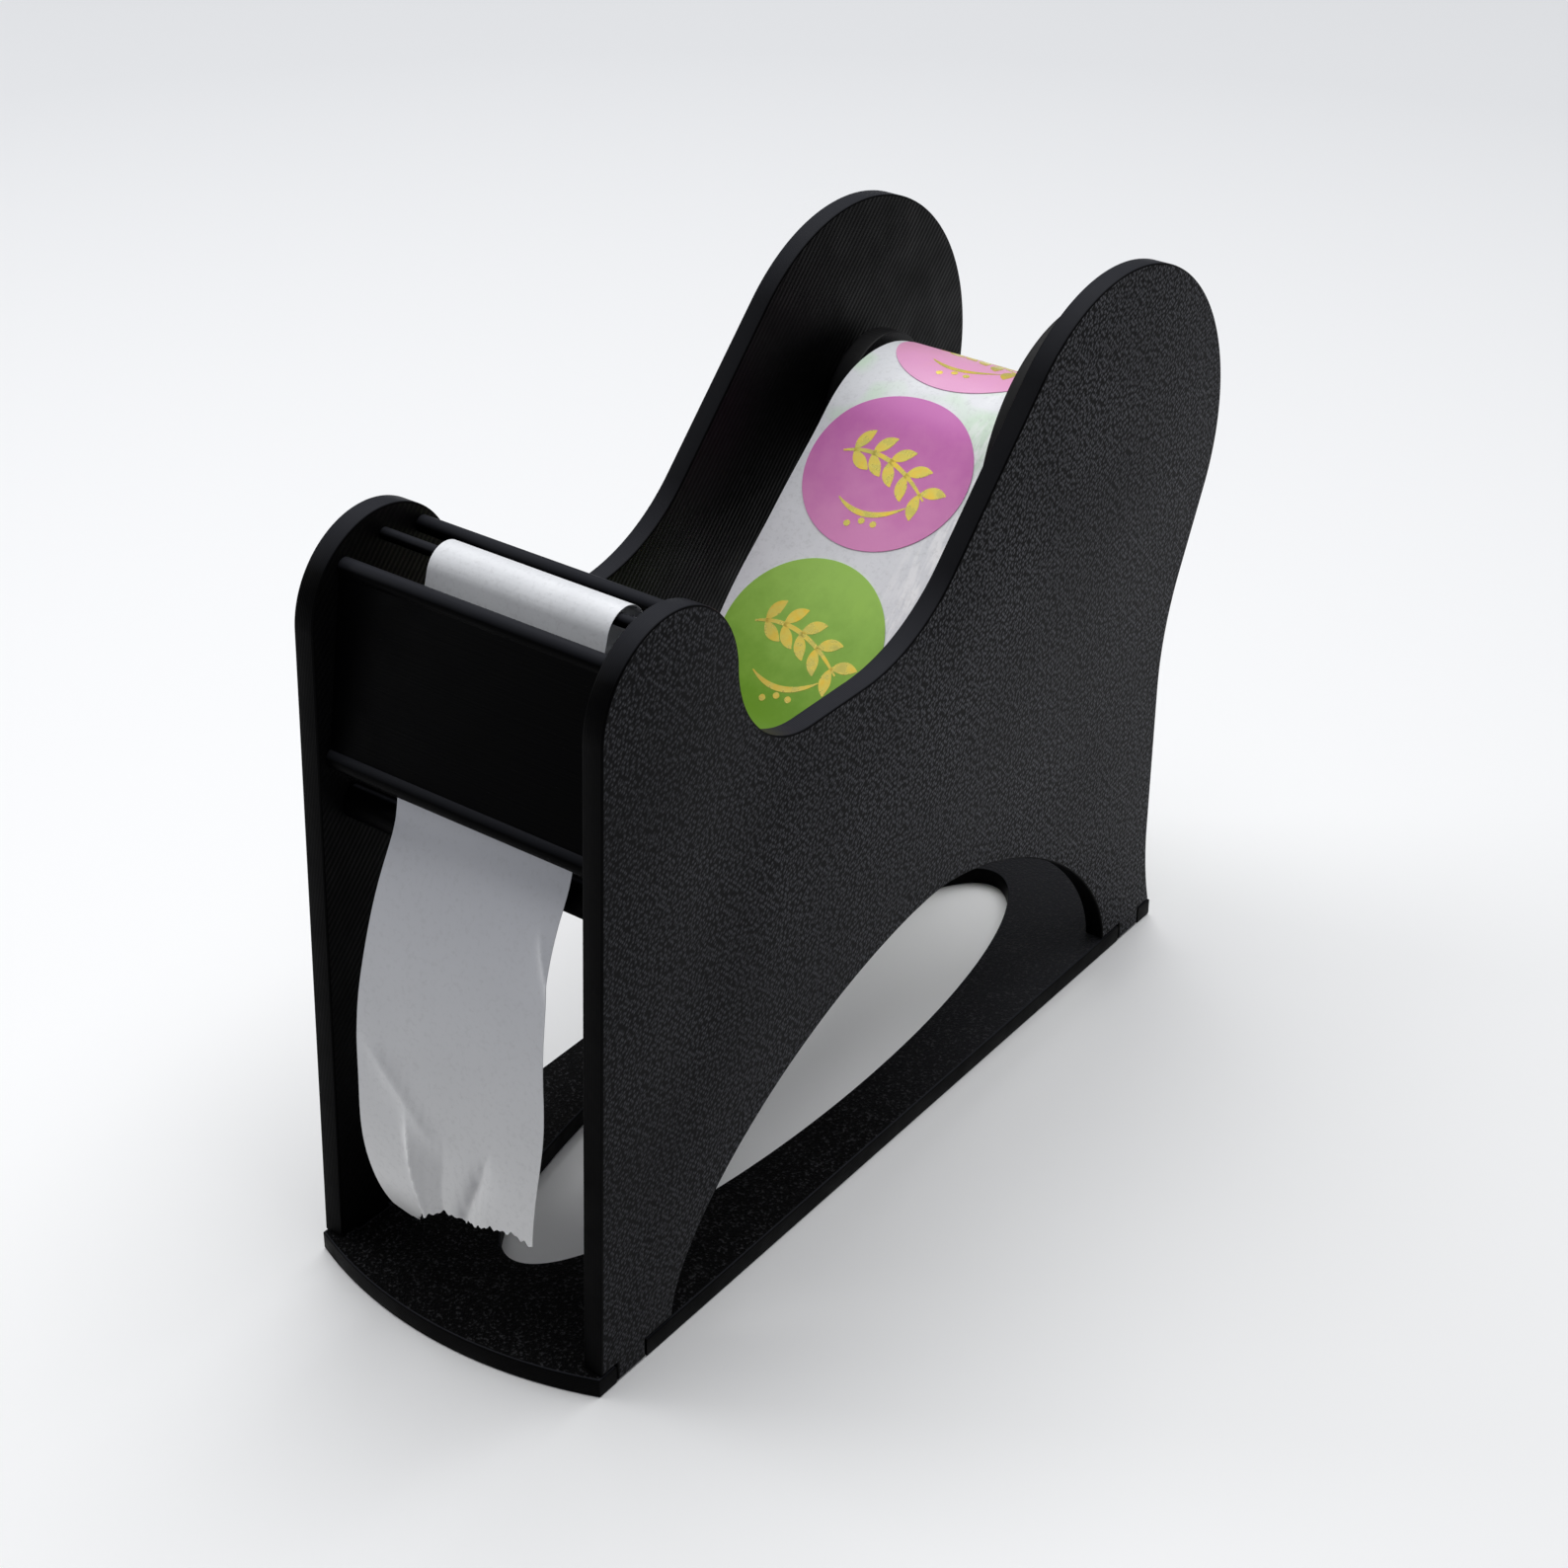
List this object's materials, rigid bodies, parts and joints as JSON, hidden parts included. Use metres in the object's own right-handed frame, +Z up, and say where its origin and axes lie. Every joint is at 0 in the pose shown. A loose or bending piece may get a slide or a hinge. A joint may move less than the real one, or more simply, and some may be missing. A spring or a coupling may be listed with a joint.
{
  "type": "label dispenser",
  "caption": "Narrow printed desk stand that carries a roll of round labels on an axle and peels them off the liner over a thin rod at the front.",
  "frame": {"origin": "on the desk, under the middle of the stand's outline", "axes": "+X to the right across the stand, +Y to the rear from the peel rod to the roll, +Z up"},
  "size_m": [0.05, 0.1572, 0.1191],
  "materials": {
    "black_print": "matte printed plastic with fine layer lines",
    "liner": "smooth silicone-coated release paper",
    "card": "raw rolled card",
    "pink_label": "coated paper with gold foil",
    "purple_label": "coated paper with gold foil",
    "green_label": "coated paper with gold foil"
  },
  "bodies": {
    "stand": {"base_plate": "black_print", "side_plate_left": "black_print", "side_plate_right": "black_print", "front_panel": "black_print", "peel_rod": "black_print", "hold_down_rod": "black_print", "tail_guide_rod": "black_print", "liner_web": "liner", "label_1": "pink_label", "label_2": "purple_label", "label_3": "green_label", "label_4": "pink_label", "label_5": "purple_label"},
    "axle": {"roll_axle": "black_print", "guide_disc_left": "black_print", "guide_disc_right": "black_print"},
    "roll": {"roll_core": "card", "label_roll": "liner", "roll_label_1": "green_label", "roll_label_2": "purple_label"}
  },
  "joints": [
    {"name": "roll_spin", "type": "hinge", "parent": "stand", "child": "roll", "pos_m": [0, 0.04388, 0.07978], "axis": [1, 0, 0], "continuous": true},
    {"name": "axle_spin", "type": "hinge", "parent": "stand", "child": "axle", "pos_m": [0, 0.04785, 0.0883], "axis": [1, 0, 0], "continuous": true}
  ]
}
